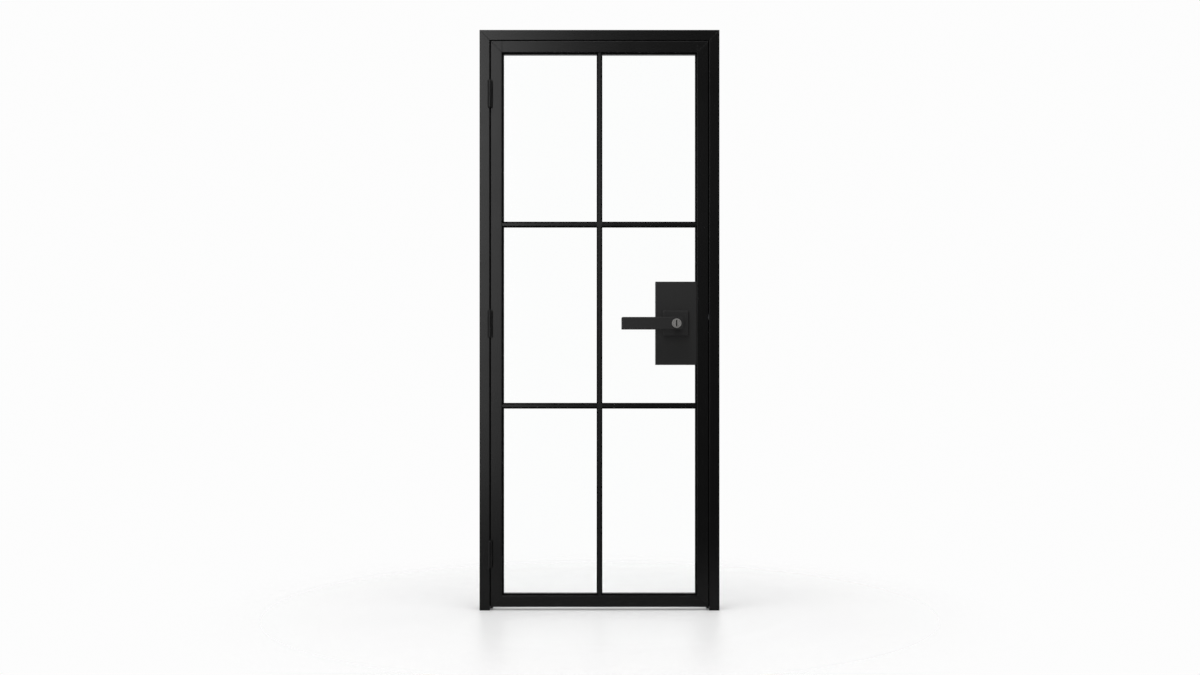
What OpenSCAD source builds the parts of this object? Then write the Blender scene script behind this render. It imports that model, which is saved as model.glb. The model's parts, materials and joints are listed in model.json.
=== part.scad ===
// Single-leaf steel-framed glass door, closed in its three-sided frame.
// The front faces -Y and +Z is up. The origin lies on the floor, at mid width and mid leaf thickness.

/* [Leaf] */
// Width of the leaf
leaf_w = 762; // [686:1:926]
// Height of the leaf
leaf_h = 1981; // [1900:1:2100]
// Thickness of the leaf
leaf_t = 45; // [43:0.5:54]
// Gap between the leaf and the frame, at both sides and the top
edge_gap = 3; // [2.8:0.1:5]
// Gap between the leaf and the floor
floor_gap = 12; // [6:0.5:20]

/* [Frame] */
// Width of the jamb and head faces
frame_face = 36; // [34:0.5:60]
// Depth of the frame from front to back
frame_depth = 70; // [66:0.5:110]
// Height of the door stop above the rebate
stop_h = 8; // [7:0.5:14]
// Wall of the hollow steel sections
steel_wall = 2; // [1.5:0.1:3]
// Outer corner radius of the hollow steel sections
edge_r = 2; // [1:0.1:3]
// Depth left for the seal between the leaf and the stop
seal_t = 3; // [2.4:0.1:4]
// Width of the seal on the stop
seal_w = 5; // [4:0.1:6]
// Thickness of the plate that closes each jamb's foot
foot_t = 4; // [2:0.5:8]

/* [Wall fixings] */
// Diameter of the wall fixing holes through the jambs
fixing_d = 8; // [5:0.5:11]
// Wall of the spacer sleeve round each fixing hole
sleeve_wall = 3; // [1.5:0.5:5]
// Height of the lowest fixing above the floor
fixing_foot_inset = 300; // [260:1:400]
// Distance from the top of the frame to the highest fixing
fixing_head_inset = 332; // [300:1:400]
// Distance of the two middle fixings above and below the latch
fixing_latch_offset = 280; // [200:1:300]

/* [Leaf sections] */
// Face width of the stiles and rails
stile_face = 40; // [36:0.5:60]
// Width of the glazing leg past the face
leg_w = 5; // [4:0.5:12]
// Thickness of the glazing leg
leg_t = 3.5; // [2.5:0.1:4.5]
// Depth of the glazing leg behind the front of the leaf
leg_setback = 7; // [5:0.1:9]
// Depth of the glazing rebate behind the face
rebate_w = 6; // [4:0.5:9]

/* [Glazing bars] */
// Width of a glazing bar over its two legs
bar_w = 18; // [16:0.5:24]
// Width of the flat front strip of a bar
bar_face = 9; // [6:0.5:10]
// Bevel on each side of the front strip
bar_bevel = 1.2; // [0.5:0.1:1.7]
// Thickness of the web behind the legs of a bar
bar_web = 5; // [4.2:0.1:7]
// Depth of the front strip behind the front of the leaf
bar_setback = 3; // [1:0.1:4]
// Height of the upper bar's middle above the floor
upper_bar_z = 1351; // [1280:1:1500]
// Height of the lower bar's middle above the floor
lower_bar_z = 716; // [500:1:780]

/* [Glazing] */
// Thickness of the glass
glass_t = 8; // [6:0.5:10]
// Thickness of the gasket on each side of the glass
gasket_t = 2; // [1:0.1:3]
// Gap between the glass edge and the rebate
glass_clear = 2; // [1:0.1:3]
// Wrap of the front gasket round the edge of the glazing leg
gasket_wrap = 1; // [0.6:0.1:2]
// Thickness of the front gasket's lip on the glazing leg
lip_t = 1.2; // [0.8:0.1:2]
// Setback of the back gasket behind the edge of the bead, and of both behind the lock box's edge
gasket_inset = 0.5; // [0.1:0.1:1]
// Setback of the glazing beads from the back of the leaf
bead_setback = 2.5; // [0.5:0.1:5]
// Wall of the glazing beads
bead_wall = 1.5; // [1:0.1:2]
// Shank diameter of the bead screws
bead_screw_d = 3.2; // [2.5:0.1:4]
// Length of the setting blocks under the glass
block_len = 80; // [40:1:120]

/* [Hinges] */
// Distance from the leaf's top or bottom to the middle of the outer hinges
hinge_inset = 186; // [120:1:250]
// Diameter of the hinge knuckles
knuckle_d = 17; // [15:0.5:20]
// Height of one knuckle
knuckle_h = 47; // [40:0.5:60]
// Bevel at the outer end of each knuckle
knuckle_bevel = 2.5; // [1:0.1:2.5]
// Thickness of the thrust washer between the knuckles
washer_t = 2; // [1:0.1:4]
// Diameter of the thrust washer
washer_d = 15; // [12:0.5:15]
// Diameter of the hinge pin
pin_d = 9; // [7:0.5:9.5]
// Wall over the top of the pin in the upper knuckle
knuckle_cap = 6; // [3:0.5:10]
// Reach of a hinge wing behind the front of the leaf
wing_reach = 30; // [26:0.5:36]
// Shank diameter of the hinge screws
hinge_screw_d = 5; // [4:0.5:5.5]
// Length of a hinge screw under its head
hinge_screw_len = 12; // [8:0.5:16]
// Distance between the two screws of a wing
hinge_screw_pitch = 26; // [18:0.5:28]

/* [Lock box] */
// Width of the lock box from the lock stile's face
box_w = 145; // [140:1:160]
// Height of the lock box
box_h = 292; // [220:1:300]
// Sheet of the lock box pans
box_wall = 2.5; // [1.5:0.1:3]
// Outer radius of the folds along the lock box's faces
fold_r = 2; // [1:0.1:2.5]
// Depth of the lock box behind the leaf's front, and the same at the back
box_setback = 2.5; // [1:0.1:4]
// Lap of the lock box pans over the glass
box_lap = 8; // [6:0.5:12]
// Height of the lever axis above the floor
lock_z = 1005; // [990:1:1020]
// Distance from the leaf's edge to the lever axis
backset = 114; // [108:1:118]

/* [Lock case] */
// Thickness of the lock case
case_t = 22; // [20:0.5:23]
// Sheet of the lock case
case_wall = 1.5; // [1:0.1:2]
// Reach of the case behind the lever axis
case_back = 24; // [23:0.5:30]
// Top of the case above the lever axis
case_top = 34; // [33:0.5:34.5]
// Bottom of the case below the lever axis
case_bottom = 26; // [24:0.5:34]
// Diameter of the rivets that close the case
rivet_d = 4; // [3:0.1:5]
// Distance of the rivets from the edges of the case
rivet_inset = 6; // [5.5:0.1:7]
// Diameter of the follower's hub
hub_d = 18; // [15:0.5:20]
// Width of the follower's finger
finger_w = 6; // [5:0.1:7]
// Reach of the follower's finger from the lever axis
finger_reach = 17; // [16.5:0.1:17.3]

/* [Latch] */
// Travel of the latch bolt, which is also how far it stands out of the edge
bolt_throw = 12; // [11:0.1:12.5]
// Width of the latch bolt
bolt_w = 13; // [9:0.5:15]
// Height of the latch bolt
bolt_h = 18; // [12:0.5:19]
// Height of the bolt's middle above the lever axis
bolt_rise = 22; // [21:0.1:22.5]
// Length of the bolt's head
bolt_len = 42; // [34:0.5:48]
// Thickness of the bolt's tail
tail_t = 4; // [3:0.1:4.5]
// Width of the bolt's tail
tail_w = 8; // [6:0.5:9]
// Wire diameter of the latch spring
wire_d = 1.2; // [0.8:0.1:1.6]

/* [Face plate and strike] */
// Width of the face plate and the strike plate
plate_w = 25; // [24.5:0.1:28]
// Height of the face plate
face_plate_h = 104; // [96:1:130]
// Height of the strike plate
strike_h = 104; // [90:1:130]
// Depth of the strike's dust box
strike_depth = 16; // [13:0.5:20]
// Shank diameter of the plate screws
plate_screw_d = 4; // [3:0.5:4.5]
// Height of the welded lug behind each end of a plate
lug_h = 18; // [15:0.5:20]
// Thickness of the lugs
lug_t = 4; // [3:0.5:6]

/* [Levers] */
// Side of the square roses
rose_w = 88; // [84:1:96]
// Thickness of the roses
rose_t = 9; // [7:0.5:12]
// Radius along the edges of a rose's face
rose_edge_r = 1.5; // [0.5:0.1:3]
// Overall length of a lever
lever_len = 212; // [150:1:220]
// Reach of a lever past its axis, on the stile's side
lever_tail = 23; // [20:0.5:28]
// Height of a lever
lever_h = 43; // [36:0.5:46]
// Thickness of a lever
lever_t = 16; // [15:0.5:20]
// Distance from the leaf's face to the outer face of a lever
lever_proud = 62; // [55:0.5:75]
// Radius along the edges of a lever
lever_edge_r = 1.2; // [0.5:0.1:2]
// Corner radius of the lever's end by the stile
lever_corner_r = 7; // [3:0.5:12]
// Corner radius of the lever's tip
lever_tip_r = 2; // [1:0.5:6]
// Diameter of the lever's neck
neck_d = 24; // [20:0.5:28]
// Side of the square spindle
spindle_w = 8; // [7:0.5:9]
// Shank diameter of the bolts that join the roses
rose_bolt_d = 5; // [4:0.5:6]
// Distance of each rose bolt from the lever axis
rose_bolt_offset = 38; // [37.5:0.1:39]

/* [Key cylinders] */
// Diameter of the cylinder housing's face
cylinder_d = 33; // [31:0.5:35]
// Diameter of the turning plug
plug_d = 27; // [24:0.5:28]
// Depth of the cylinder in the lever
cylinder_depth = 13; // [11:0.5:14]
// Height of the cylinder's face above the lever's
cylinder_proud = 1.2; // [0.5:0.1:2]
// Width of the keyway
keyway_w = 3; // [2:0.1:4]
// Height of the keyway over both of its parts
keyway_h = 22; // [16:0.5:23]
// Bridge between the two parts of the keyway
keyway_bridge = 2.4; // [1:0.1:4]
// Depth of the keyway
keyway_depth = 8; // [4:0.5:9]

/* [Hidden] */

$fn = 48;
// Overrun of every cut past the face that it opens
overrun = 1;
// Radial play of turning fits
running_fit = 0.06;
// Play of seated pieces
seat_fit = 0.05;
// Play round let-in plates and beside pieces that move past each other
slip_clear = 0.3;
// Play between a hinge wing and the member that it passes
wing_clear = 0.6;
// Joint between the lengths of a glazing bead
bead_joint = 0.2;
// Play round the lever necks
neck_clear = 0.4;
// Play round the latch bolt in the strike
strike_clear = 1.5;
// Play over the top of a hinge pin
pin_top_clear = 1;
// Half width and depth of the seam line at a welded joint
seam_w = 0.3;
seam_depth = 0.5;
// Rows of panes, from the bottom up
rows = [0, 1, 2];
// Lap of a welded lug on the wall that carries it
lug_lap = 4;
// Face left over the blind ends of the rose bolts
rose_skin = 3;
// Floor of the cylinder housing behind the plug
cylinder_floor = 1.5;
// Flat at the latch bolt's nose
bolt_nose = 2;
// Depth that the bead screws bite into the steel
bead_bite = 1.8;
// Radius of a screw head as a share of its shank's diameter
head_share = 0.9;
// Size and depth of a screw's socket, as shares of the shank's diameter and the head's depth
socket_shares = [0.6, 0.7];
// Heights of the bead screws, as shares of the rebate's height
bead_screw_shares = [0.15, 0.85];
// Places of the setting blocks, as shares of the pane's width
block_shares = [0.25, 0.75];
// Thickness of the seal's base as a share of its height
seal_base_share = 0.35;

black_steel = "#2a2a2b";
dark_steel = "#37383a";
bare_steel = "#b9bcbf";
black_rubber = "#161616";
clear_glass = "#dfeceaaa";

front_y = -leaf_t / 2;
leaf_x = leaf_w / 2;
leaf_top = floor_gap + leaf_h;
rebate_x = leaf_x + edge_gap;
frame_x = rebate_x + frame_face;
frame_w = 2 * frame_x;
frame_h = leaf_top + edge_gap + frame_face;
stop_v = leaf_t + seal_t;
seal_h = seal_t - slip_clear;

// The leaf's section: hollow tube, glazing leg and the sight line at the leg's edge
tube_w = stile_face - rebate_w;
sight_w = stile_face + leg_w;
leg_y = front_y + leg_setback;
leg_back_y = leg_y + leg_t;
bar_y = front_y + bar_setback;
strip_w = bar_face + 2 * bar_bevel;

// The glazing's layers from the leg's front backwards
lip_y = leg_y - lip_t;
glass_y = leg_back_y + gasket_t;
glass_back_y = glass_y + glass_t;
bead_y = glass_back_y + gasket_t;
bead_back_y = leaf_t / 2 - bead_setback;
bead_depth = bead_back_y - bead_y;

// Heights of the three rows, between the rails' inner edges and the bars' sides
function row_spans(edge_w, bar_side_w) = [
  [floor_gap + edge_w, lower_bar_z - bar_side_w / 2],
  [lower_bar_z + bar_side_w / 2, upper_bar_z - bar_side_w / 2],
  [upper_bar_z + bar_side_w / 2, leaf_top - edge_w]
];
rebate_z = row_spans(tube_w, bar_web);
sight_z = row_spans(sight_w, bar_w);

// Hinge axis and heights
hinge_x = -leaf_x - edge_gap / 2;
hinge_y = front_y - knuckle_d / 2 - slip_clear;
hinge_zs = [floor_gap + hinge_inset, floor_gap + leaf_h / 2, leaf_top - hinge_inset];
wing_t = edge_gap - wing_clear;
wing_screw_y = front_y + wing_reach / 2;
pin_h = 2 * knuckle_h + washer_t - knuckle_cap - pin_top_clear;

// Lock box, lever axis and latch
box_x0 = leaf_x - stile_face - box_w;
box_z0 = lock_z - box_h / 2;
box_z1 = lock_z + box_h / 2;
box_y = leaf_t / 2 - box_setback;
axis_x = leaf_x - backset;
bolt_z = lock_z + bolt_rise;
plate_t = steel_wall + seat_fit;
plate_x = leaf_x - plate_t;
case_x0 = axis_x - case_back;
case_z0 = lock_z - case_bottom;
case_z1 = lock_z + case_top;
face_plate_z = (case_z0 + case_z1) / 2;
lever_y = leaf_t / 2 + lever_proud;
neck_end_y = case_t / 2 + case_wall;
finger_clear = 2 * slip_clear;
hook_x = axis_x - finger_w / 2 - finger_clear;
tail_z = lock_z + finger_reach + case_wall * 2;
spring_seat_x = axis_x + hub_d / 2 + finger_reach + tail_w;
bolt_back_x = leaf_x + bolt_throw - bolt_len;
spindle_y = lever_y - lever_t;
rose_bolt_len = 2 * (box_y + rose_t) - rose_skin;

// Heights of the wall fixings: near the floor, below and above the latch, near the head
fixing_zs = [
  fixing_foot_inset,
  bolt_z - fixing_latch_offset,
  bolt_z + fixing_latch_offset,
  frame_h - fixing_head_inset
];

// Latch spring between its seat in the case and the bolt's head
coil_turns = 9;
coil_steps = 14;
coil_sides = 6;
coil_r = norm([tail_w, tail_t]) / 2 + slip_clear + wire_d / 2;
coil_x0 = spring_seat_x + case_wall + wire_d / 2 + seat_fit;
coil_x1 = bolt_back_x - wire_d / 2 - seat_fit;

// Rounded rectangle from the origin
module rounded_rect(w, d, r) {
  translate([r, 0]) square([w - 2 * r, d]);
  translate([0, r]) square([w, d - 2 * r]);
  for (cx = [r, w - r], cy = [r, d - r]) translate([cx, cy]) circle(r);
}

// Flat shape drawn in X and Z, with its front at y and its thickness behind
module slab(y, t) {
  translate([0, y + t, 0]) rotate([90, 0, 0]) linear_extrude(t) children();
}

// Rectangle between two corners
module rect(lo, hi) {
  translate(lo) square(hi - lo);
}

// Box between two corners
module box(lo, hi) {
  translate(lo) cube(hi - lo);
}

// Plate between two corners in X and Z, with its face at y and the face's edges rounded.
// The section's depth decides whether the edges at the back are rounded too; children give the outline.
module soft_plate(lo, hi, y, t, section_t, r) {
  size = hi - lo;
  intersection() {
    slab(y, t) children();
    translate([lo[0], y, lo[1]]) linear_extrude(size[1]) rounded_rect(size[0], section_t, r);
    translate([hi[0], y, lo[1]]) rotate([0, -90, 0]) linear_extrude(size[0])
      rounded_rect(size[1], section_t, r);
  }
}

// Countersunk socket screw along -Z, with its head's face at the origin
module csk_screw(d, len) {
  head_r = d * head_share;
  head_h = head_r - d / 2;
  difference() {
    union() {
      translate([0, 0, -head_h]) cylinder(h = head_h, r1 = d / 2, r2 = head_r);
      translate([0, 0, -len]) cylinder(h = len - head_h / 2, d = d);
    }
    translate([0, 0, -head_h * socket_shares[1]])
      cylinder(h = head_h, d = d * socket_shares[0], $fn = 6);
  }
}

// Hole for a countersunk screw
module csk_hole(d, len) {
  head_r = d * head_share + seat_fit;
  head_h = d * head_share - d / 2;
  translate([0, 0, -head_h]) cylinder(h = head_h, r1 = d / 2 + seat_fit, r2 = head_r);
  cylinder(h = overrun, r = head_r);
  translate([0, 0, -len - overrun]) cylinder(h = len + overrun, d = d + 2 * seat_fit);
}

// Wedge that leaves a mitre at the top of an upright length, down to a depth behind its front
module mitre_wedge(reach, depth) {
  slab(-overrun, depth + overrun)
    polygon([[-overrun, overrun], [reach + overrun, -reach - overrun], [reach + overrun, overrun]]);
}

// Upright length of a section, mitred at its top and, where asked, at its foot, with a seam line at the front
module mitred(len, reach, depth, both) {
  difference() {
    linear_extrude(len) children();
    for (end = both ? [0, 1] : [1]) translate([0, 0, end * len]) mirror([0, 0, 1 - end]) {
      mitre_wedge(reach, depth + overrun);
      translate([0, 0, -seam_w]) mitre_wedge(reach, seam_depth);
    }
  }
}

// Frame section: U runs from the wall to the doorway, V from the front to the back
module frame_section() {
  difference() {
    union() {
      rounded_rect(frame_face, frame_depth, edge_r);
      translate([0, stop_v]) rounded_rect(frame_face + stop_h, frame_depth - stop_v, edge_r);
    }
    frame_cavity(steel_wall);
  }
}

// Hollow of the frame section, inset from its outside
module frame_cavity(inset) {
  rect([inset, inset], [frame_face - inset, frame_depth - inset]);
  rect([inset, stop_v + inset], [frame_face + stop_h - inset, frame_depth - inset]);
}

// Places an upright length at the hinge side of the frame
module at_frame_side() {
  translate([-frame_x, front_y, 0]) children();
}

// Places an upright length along the top of the frame
module at_frame_head() {
  translate([-frame_x, front_y, frame_h]) rotate([0, 90, 0]) children();
}

module plain_jamb() {
  difference() {
    at_frame_side() mitred(frame_h, frame_face + stop_h, frame_depth, false) frame_section();
    for (z = fixing_zs) translate([-frame_x - overrun, 0, z]) rotate([0, 90, 0])
      cylinder(h = frame_face + 2 * overrun, d = fixing_d);
  }
}

module hinge_jamb() {
  color(black_steel) difference() {
    plain_jamb();
    each_wing_screw(-1) translate([wing_t - rebate_x, 0, 0]) rotate([0, 90, 0])
      csk_hole(hinge_screw_d, hinge_screw_len);
  }
}

module strike_jamb() {
  color(black_steel) difference() {
    union() {
      mirror([1, 0, 0]) plain_jamb();
      at_strike() plate_lugs(strike_h);
    }
    at_strike() {
      plate_recess(strike_h);
      plate_screw_holes(strike_h);
    }
  }
}

module head() {
  color(black_steel) at_frame_head() mitred(frame_w, frame_face + stop_h, frame_depth, true) frame_section();
}

// Seal section: a flat base on the stop and a round bulb towards the leaf
module seal_section() {
  translate([frame_face + stop_h - edge_r - seal_w, stop_v - seal_h]) {
    translate([0, seal_h * (1 - seal_base_share)]) square([seal_w, seal_h * seal_base_share]);
    translate([seal_w / 2, seal_h / 2]) circle(seal_h / 2);
  }
}

module hinge_side_seal() {
  color(black_rubber) at_frame_side() mitred(frame_h, frame_face + stop_h, frame_depth, false) seal_section();
}

module strike_side_seal() {
  color(black_rubber) mirror([1, 0, 0]) at_frame_side()
    mitred(frame_h, frame_face + stop_h, frame_depth, false) seal_section();
}

module head_seal() {
  color(black_rubber) at_frame_head() mitred(frame_w, frame_face + stop_h, frame_depth, true) seal_section();
}

module fixing_sleeves() {
  color(bare_steel) for (side = [0, 1], z = fixing_zs) mirror([side, 0, 0])
    translate([steel_wall - frame_x, 0, z]) rotate([0, 90, 0]) difference() {
      cylinder(h = frame_face - 2 * steel_wall, d = fixing_d + 2 * sleeve_wall);
      translate([0, 0, -overrun]) cylinder(h = frame_face, d = fixing_d);
    }
}

module foot_plates() {
  color(black_steel) for (side = [0, 1]) mirror([side, 0, 0]) at_frame_side()
    linear_extrude(foot_t) frame_cavity(steel_wall + seat_fit);
}

// Two screw places on each hinge wing: side -1 is the jamb's wing below, side 1 the leaf's wing above
module each_wing_screw(side) {
  middle = side * (washer_t + knuckle_h) / 2;
  for (z = hinge_zs, step = [-1, 1])
    translate([0, wing_screw_y, z + middle + step * hinge_screw_pitch / 2]) children();
}

// Knuckle from its inner end upwards, bevelled at the outer end
module knuckle() {
  end_r = knuckle_d / 2 - knuckle_bevel;
  intersection() {
    cylinder(h = knuckle_h, d = knuckle_d);
    cylinder(h = knuckle_h, r1 = end_r + knuckle_h, r2 = end_r);
  }
}

// Lower half of a hinge: its knuckle holds the pin, its wing lies on the jamb's rebate
module jamb_knuckle(z) {
  base_z = z - washer_t / 2 - knuckle_h;
  difference() {
    union() {
      translate([hinge_x, hinge_y, base_z + knuckle_h]) mirror([0, 0, 1]) knuckle();
      box([-rebate_x, hinge_y, base_z], [wing_t - rebate_x, front_y + wing_reach, base_z + knuckle_h]);
    }
    translate([hinge_x, hinge_y, base_z - overrun])
      cylinder(h = knuckle_h + 2 * overrun, d = pin_d + 2 * seat_fit);
    each_wing_screw(-1) translate([wing_t - rebate_x, 0, 0]) rotate([0, 90, 0])
      csk_hole(hinge_screw_d, hinge_screw_len);
  }
}

// Upper half of a hinge: its knuckle turns on the pin, its wing lies on the leaf's edge
module leaf_knuckle(z) {
  base_z = z + washer_t / 2 + seat_fit;
  difference() {
    union() {
      translate([hinge_x, hinge_y, base_z]) knuckle();
      box([-leaf_x - wing_t, hinge_y, base_z], [-leaf_x, front_y + wing_reach, base_z + knuckle_h]);
    }
    translate([hinge_x, hinge_y, base_z - overrun])
      cylinder(h = knuckle_h - knuckle_cap + overrun, d = pin_d + 2 * running_fit);
    each_wing_screw(1) translate([-leaf_x - wing_t, 0, 0]) rotate([0, -90, 0])
      csk_hole(hinge_screw_d, hinge_screw_len);
  }
}

module bottom_jamb_knuckle() { color(black_steel) jamb_knuckle(hinge_zs[0]); }
module middle_jamb_knuckle() { color(black_steel) jamb_knuckle(hinge_zs[1]); }
module top_jamb_knuckle() { color(black_steel) jamb_knuckle(hinge_zs[2]); }
module bottom_leaf_knuckle() { color(black_steel) leaf_knuckle(hinge_zs[0]); }
module middle_leaf_knuckle() { color(black_steel) leaf_knuckle(hinge_zs[1]); }
module top_leaf_knuckle() { color(black_steel) leaf_knuckle(hinge_zs[2]); }

module hinge_pins() {
  color(bare_steel) for (z = hinge_zs) translate([hinge_x, hinge_y, z - washer_t / 2 - knuckle_h])
    cylinder(h = pin_h, d = pin_d);
}

module hinge_washers() {
  color(black_steel) for (z = hinge_zs) translate([hinge_x, hinge_y, z - washer_t / 2]) difference() {
    cylinder(h = washer_t, d = washer_d);
    translate([0, 0, -overrun]) cylinder(h = washer_t + 2 * overrun, d = pin_d + 2 * seat_fit);
  }
}

module jamb_hinge_screws() {
  color(dark_steel) each_wing_screw(-1) translate([wing_t - rebate_x, 0, 0]) rotate([0, 90, 0])
    csk_screw(hinge_screw_d, hinge_screw_len);
}

module leaf_hinge_screws() {
  color(dark_steel) each_wing_screw(1) translate([-leaf_x - wing_t, 0, 0]) rotate([0, -90, 0])
    csk_screw(hinge_screw_d, hinge_screw_len);
}

// Places of the two let-in plates: X runs into the wall from its face and Z from the plate's middle
module at_strike() { translate([rebate_x, 0, bolt_z]) children(); }
module at_face_plate() { translate([leaf_x, 0, face_plate_z]) mirror([1, 0, 0]) children(); }

// Opening for a let-in plate, through the wall and just into the lugs
module plate_recess(h) {
  box([-overrun, -plate_w / 2 - slip_clear, -h / 2 - slip_clear],
      [plate_t, plate_w / 2 + slip_clear, h / 2 + slip_clear]);
}

// Welded lugs behind the two ends of a let-in plate
module plate_lugs(h) {
  for (end = [0, 1]) mirror([0, 0, end])
    box([steel_wall / 2, -plate_w / 2 - lug_lap, h / 2 + lug_lap - lug_h],
        [plate_t + lug_t, plate_w / 2 + lug_lap, h / 2 + lug_lap]);
}

module plate_screw_places(h) {
  for (end = [-1, 1]) translate([0, 0, end * (h - lug_h + lug_lap) / 2]) rotate([0, -90, 0]) children();
}

module plate_screw_holes(h) {
  plate_screw_places(h) csk_hole(plate_screw_d, plate_t + lug_t);
}

module let_in_plate(h) {
  difference() {
    box([0, -plate_w / 2, -h / 2], [plate_t, plate_w / 2, h / 2]);
    plate_screw_holes(h);
  }
}

// Opening that lets the latch bolt through a wall that starts at x
module bolt_opening(x, t, clear) {
  box([x - overrun, -bolt_w / 2 - clear, bolt_z - bolt_h / 2 - clear],
      [x + t + overrun, bolt_w / 2 + clear, bolt_z + bolt_h / 2 + clear]);
}

module strike_plate() {
  color(bare_steel) difference() {
    at_strike() let_in_plate(strike_h);
    bolt_opening(rebate_x, plate_t, strike_clear);
  }
}

module strike_box() {
  shell = strike_clear + case_wall;
  color(black_rubber) difference() {
    box([rebate_x + plate_t, -bolt_w / 2 - shell, bolt_z - bolt_h / 2 - shell],
        [rebate_x + plate_t + strike_depth, bolt_w / 2 + shell, bolt_z + bolt_h / 2 + shell]);
    bolt_opening(rebate_x, plate_t + strike_depth - case_wall - overrun, strike_clear);
  }
}

module strike_screws() {
  color(bare_steel) at_strike() plate_screw_places(strike_h) csk_screw(plate_screw_d, plate_t + lug_t);
}

// Leaf section: U runs from the leaf's edge inwards, V from the front to the back
module leaf_section() {
  leg_back_v = leg_setback + leg_t;
  difference() {
    union() {
      rounded_rect(tube_w, leaf_t, edge_r);
      rounded_rect(stile_face, leg_back_v, edge_r);
      rect([0, leg_setback], [sight_w, leg_back_v]);
    }
    rect([steel_wall, steel_wall], [tube_w - steel_wall, leaf_t - steel_wall]);
    rect([steel_wall, steel_wall], [stile_face - steel_wall, leg_back_v - steel_wall]);
  }
}

module leaf_upright() {
  translate([-leaf_x, front_y, floor_gap]) mitred(leaf_h, sight_w, leaf_t, true) leaf_section();
}

// Rail with a seam line across its face in line with each stile's inner edge
module leaf_rail() {
  translate([-leaf_x, front_y, 0]) rotate([0, 90, 0]) difference() {
    mitred(leaf_w, sight_w, leaf_t, true) leaf_section();
    for (seam = [stile_face, leaf_w - stile_face])
      box([-overrun, -overrun, seam - seam_w], [stile_face + overrun, seam_depth, seam + seam_w]);
  }
}

module hinge_stile() {
  color(black_steel) difference() {
    leaf_upright();
    each_wing_screw(1) translate([-leaf_x - wing_t, 0, 0]) rotate([0, -90, 0])
      csk_hole(hinge_screw_d, hinge_screw_len);
    each_bead_screw(0) csk_hole(bead_screw_d, $bead_screw_len);
  }
}

module lock_stile() {
  color(black_steel) difference() {
    union() {
      mirror([1, 0, 0]) leaf_upright();
      at_face_plate() plate_lugs(face_plate_h);
    }
    at_face_plate() {
      plate_recess(face_plate_h);
      plate_screw_holes(face_plate_h);
    }
    box([leaf_x - sight_w - overrun, leg_y - overrun, box_z0 - slip_clear],
        [leaf_x - stile_face, leg_back_y + overrun, box_z1 + slip_clear]);
    box([leaf_x - tube_w - overrun, -case_t / 2 - slip_clear, case_z0 - slip_clear],
        [leaf_x - tube_w + steel_wall + overrun, case_t / 2 + slip_clear, case_z1 + slip_clear]);
    each_bead_screw(1) csk_hole(bead_screw_d, $bead_screw_len);
  }
}

module top_rail() {
  color(black_steel) translate([0, 0, leaf_top]) leaf_rail();
}

module bottom_rail() {
  color(black_steel) translate([0, 0, floor_gap]) mirror([0, 0, 1]) leaf_rail();
}

// Front strip of a glazing bar, with bevelled sides; its ends lap over the legs of the stiles and rails
module bar_strip() {
  polygon([[-bar_face / 2, bar_y], [bar_face / 2, bar_y], [strip_w / 2, leg_y], [-strip_w / 2, leg_y]]);
}

// Whole section of a glazing bar: front strip, two legs and the web behind them
module bar_section() {
  polygon([[-bar_face / 2, bar_y], [bar_face / 2, bar_y], [strip_w / 2, leg_y], [bar_w / 2, leg_y],
           [bar_w / 2, leg_back_y], [bar_web / 2, leg_back_y], [bar_web / 2, bead_back_y],
           [-bar_web / 2, bead_back_y], [-bar_web / 2, leg_back_y], [-bar_w / 2, leg_back_y],
           [-bar_w / 2, leg_y], [-strip_w / 2, leg_y]]);
}

// Raised square where two bars cross, grown all round by a clearance
module crossing_boss(z, back_y, clear) {
  side = bar_w / 2 + clear;
  box([-side, bar_y - clear, z - side], [side, back_y, z + side]);
}

module vertical_bar() {
  color(black_steel) difference() {
    union() {
      translate([0, 0, floor_gap + sight_w]) linear_extrude(leaf_h - 2 * sight_w) bar_section();
      translate([0, 0, floor_gap + stile_face]) linear_extrude(leaf_h - 2 * stile_face) bar_strip();
      box([-bar_web / 2, leg_back_y, floor_gap + tube_w], [bar_web / 2, bead_back_y, leaf_top - tube_w]);
      for (z = [lower_bar_z, upper_bar_z]) crossing_boss(z, leg_y + leg_t / 2, 0);
    }
    for (side = [0, 1]) each_bead_screw(side) csk_hole(bead_screw_d, $bead_screw_len);
  }
}

// One length of a horizontal bar, from the stile to the vertical bar
module cross_bar(side, z) {
  end_x = leaf_x - bar_w / 2;
  mirror([side, 0, 0]) translate([-leaf_x, 0, z]) {
    translate([sight_w, 0, 0]) rotate([0, 90, 0]) linear_extrude(end_x - sight_w) bar_section();
    translate([stile_face, 0, 0]) rotate([0, 90, 0]) linear_extrude(end_x - stile_face) bar_strip();
    box([tube_w, leg_back_y, -bar_web / 2], [leaf_x - bar_web / 2, bead_back_y, bar_web / 2]);
  }
}

module upper_left_bar() { color(black_steel) cross_bar(0, upper_bar_z); }
module upper_right_bar() { color(black_steel) cross_bar(1, upper_bar_z); }
module lower_left_bar() { color(black_steel) cross_bar(0, lower_bar_z); }
module lower_right_bar() { color(black_steel) cross_bar(1, lower_bar_z); }

// Bead screw places of one column of panes, with the screw's length in $bead_screw_len
module each_bead_screw(side) {
  screw_y = bead_y + bead_depth / 2;
  mirror([side, 0, 0]) for (span = rebate_z, share = bead_screw_shares)
    translate([0, screw_y, span[0] + share * (span[1] - span[0])]) {
      let ($bead_screw_len = sight_w - tube_w + bead_bite)
        translate([sight_w - leaf_x, 0, 0]) rotate([0, 90, 0]) children();
      let ($bead_screw_len = (bar_w - bar_web) / 2 + bead_bite)
        translate([-bar_w / 2, 0, 0]) rotate([0, -90, 0]) children();
    }
}

module bead_screws() {
  color(dark_steel) for (side = [0, 1]) each_bead_screw(side) csk_screw(bead_screw_d, $bead_screw_len);
}

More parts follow.
